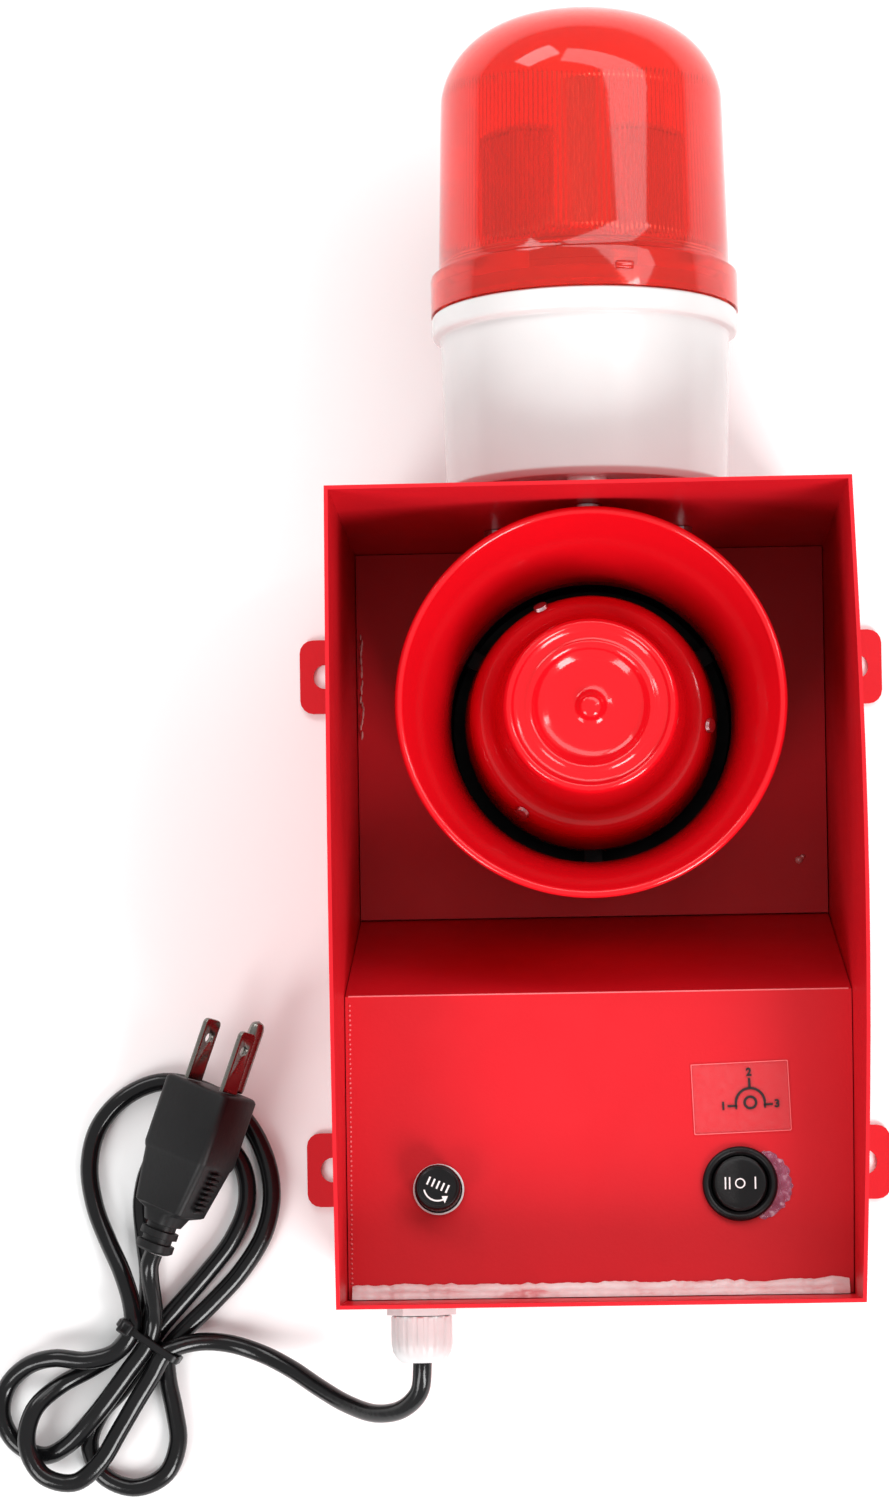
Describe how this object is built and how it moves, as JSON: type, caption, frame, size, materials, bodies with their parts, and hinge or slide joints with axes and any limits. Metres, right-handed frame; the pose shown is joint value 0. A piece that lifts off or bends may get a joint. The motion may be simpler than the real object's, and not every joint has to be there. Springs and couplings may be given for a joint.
{
  "type": "alarm siren",
  "caption": "Wall siren with a beacon: open steel box with a horn, a beacon on top, a rocker switch and fuse holder on a sloping panel, and a mains lead in a tied hank.",
  "frame": {"origin": "centre of the back plate's rear face, which lies on the wall or the table", "axes": "+Z out of the open front, +Y along the back plate towards the beacon, +X to the right when looking into the box"},
  "size_m": [0.3047, 0.4791, 0.15],
  "materials": {
    "red_paint": "gloss powder coat",
    "red_gloss_plastic": "gloss",
    "red_lens": "clear red, ribbed inside",
    "white_plastic": "semi-gloss",
    "black_plastic": "satin",
    "black_rubber": "semi-gloss cord jacket",
    "nickel": "nickel plate",
    "zinc": "zinc plate",
    "circuit_board": "solder mask",
    "yellow_tape": "tape wound",
    "capacitor_sleeve": "shrink sleeve",
    "green_plastic": "satin",
    "brown_film": "phenolic film",
    "white_nylon": "natural nylon",
    "sealant": "translucent silicone",
    "clear_film": "clear film"
  },
  "bodies": {
    "siren": {"housing_shell": "red_paint", "back_plate": "red_paint", "hood_back": "red_paint", "control_panel": "red_paint", "horn_bell": "red_gloss_plastic", "horn_reflector": "red_gloss_plastic", "horn_cap": "red_gloss_plastic", "beacon_base": "white_plastic", "led_tower": "white_plastic", "led_top_board": "white_plastic", "horn_throat_cup": "black_plastic", "horn_tone_tube": "black_plastic", "driver_can": "black_plastic", "board_carrier": "black_plastic", "switch_body": "black_plastic", "fuse_holder_body": "black_plastic", "fuse_holder_nut": "black_plastic", "plug_body": "black_plastic", "cord_tie": "black_plastic", "power_cord": "black_rubber", "beacon_cable": "black_rubber", "horn_cable": "black_rubber", "cable_grommet": "black_rubber", "gland_seal": "black_rubber", "plug_blade_1": "nickel", "plug_blade_2": "nickel", "plug_ground_pin": "nickel", "back_plate_screw_1": "zinc", "back_plate_screw_2": "zinc", "back_plate_screw_3": "zinc", "back_plate_screw_4": "zinc", "driver_magnet": "zinc", "horn_bracket": "zinc", "bracket_bolt_1": "zinc", "bracket_bolt_2": "zinc", "bracket_screw_1": "zinc", "bracket_screw_2": "zinc", "reflector_screw_1": "zinc", "reflector_screw_2": "zinc", "reflector_screw_3": "zinc", "beacon_screw_1": "zinc", "beacon_screw_2": "zinc", "beacon_screw_3": "zinc", "siren_board": "circuit_board", "beacon_driver_board": "circuit_board", "transformer": "yellow_tape", "capacitor": "capacitor_sleeve", "terminal_block": "green_plastic", "gland_body": "white_nylon", "gland_locknut": "white_nylon", "gland_dome_nut": "white_nylon", "sealant_bead": "sealant", "position_label": "clear_film"},
    "rocker": {"switch_rocker": "black_plastic"},
    "fuse": {"fuse_link": "nickel"},
    "fuse_knob": {"fuse_cap": "black_plastic"},
    "lens_ring": {"lens_seal": "black_rubber"},
    "lens": {"beacon_lens": "red_lens"},
    "diaphragm": {"driver_diaphragm": "brown_film"}
  },
  "joints": [
    {"name": "rocker_tilt", "type": "hinge", "parent": "siren", "child": "rocker", "pos_m": [0.044, -0.0893, 0.10639], "axis": [0, 0.9945, -0.1049], "range_deg": [-12, 12]},
    {"name": "fuse_pull", "type": "slide", "parent": "siren", "child": "fuse", "axis": [0, 0.1049, 0.9945], "range_m": [0, 0.035]},
    {"name": "fuse_turn", "type": "hinge", "parent": "fuse", "child": "fuse_knob", "pos_m": [-0.05, -0.0898, 0.10644], "axis": [0, 0.1049, 0.9945], "range_deg": [-60, 0]},
    {"name": "lens_lift", "type": "slide", "parent": "siren", "child": "lens_ring", "axis": [0, 1, 0], "range_m": [0, 0.16]},
    {"name": "lens_twist", "type": "hinge", "parent": "lens_ring", "child": "lens", "pos_m": [0, 0.19, 0.075], "axis": [0, 1, 0], "range_deg": [0, 30]},
    {"name": "diaphragm_travel", "type": "slide", "parent": "siren", "child": "diaphragm", "axis": [0, 0, 1], "range_m": [-0.0004, 0.0004], "stiffness_N_per_m": 1000}
  ]
}
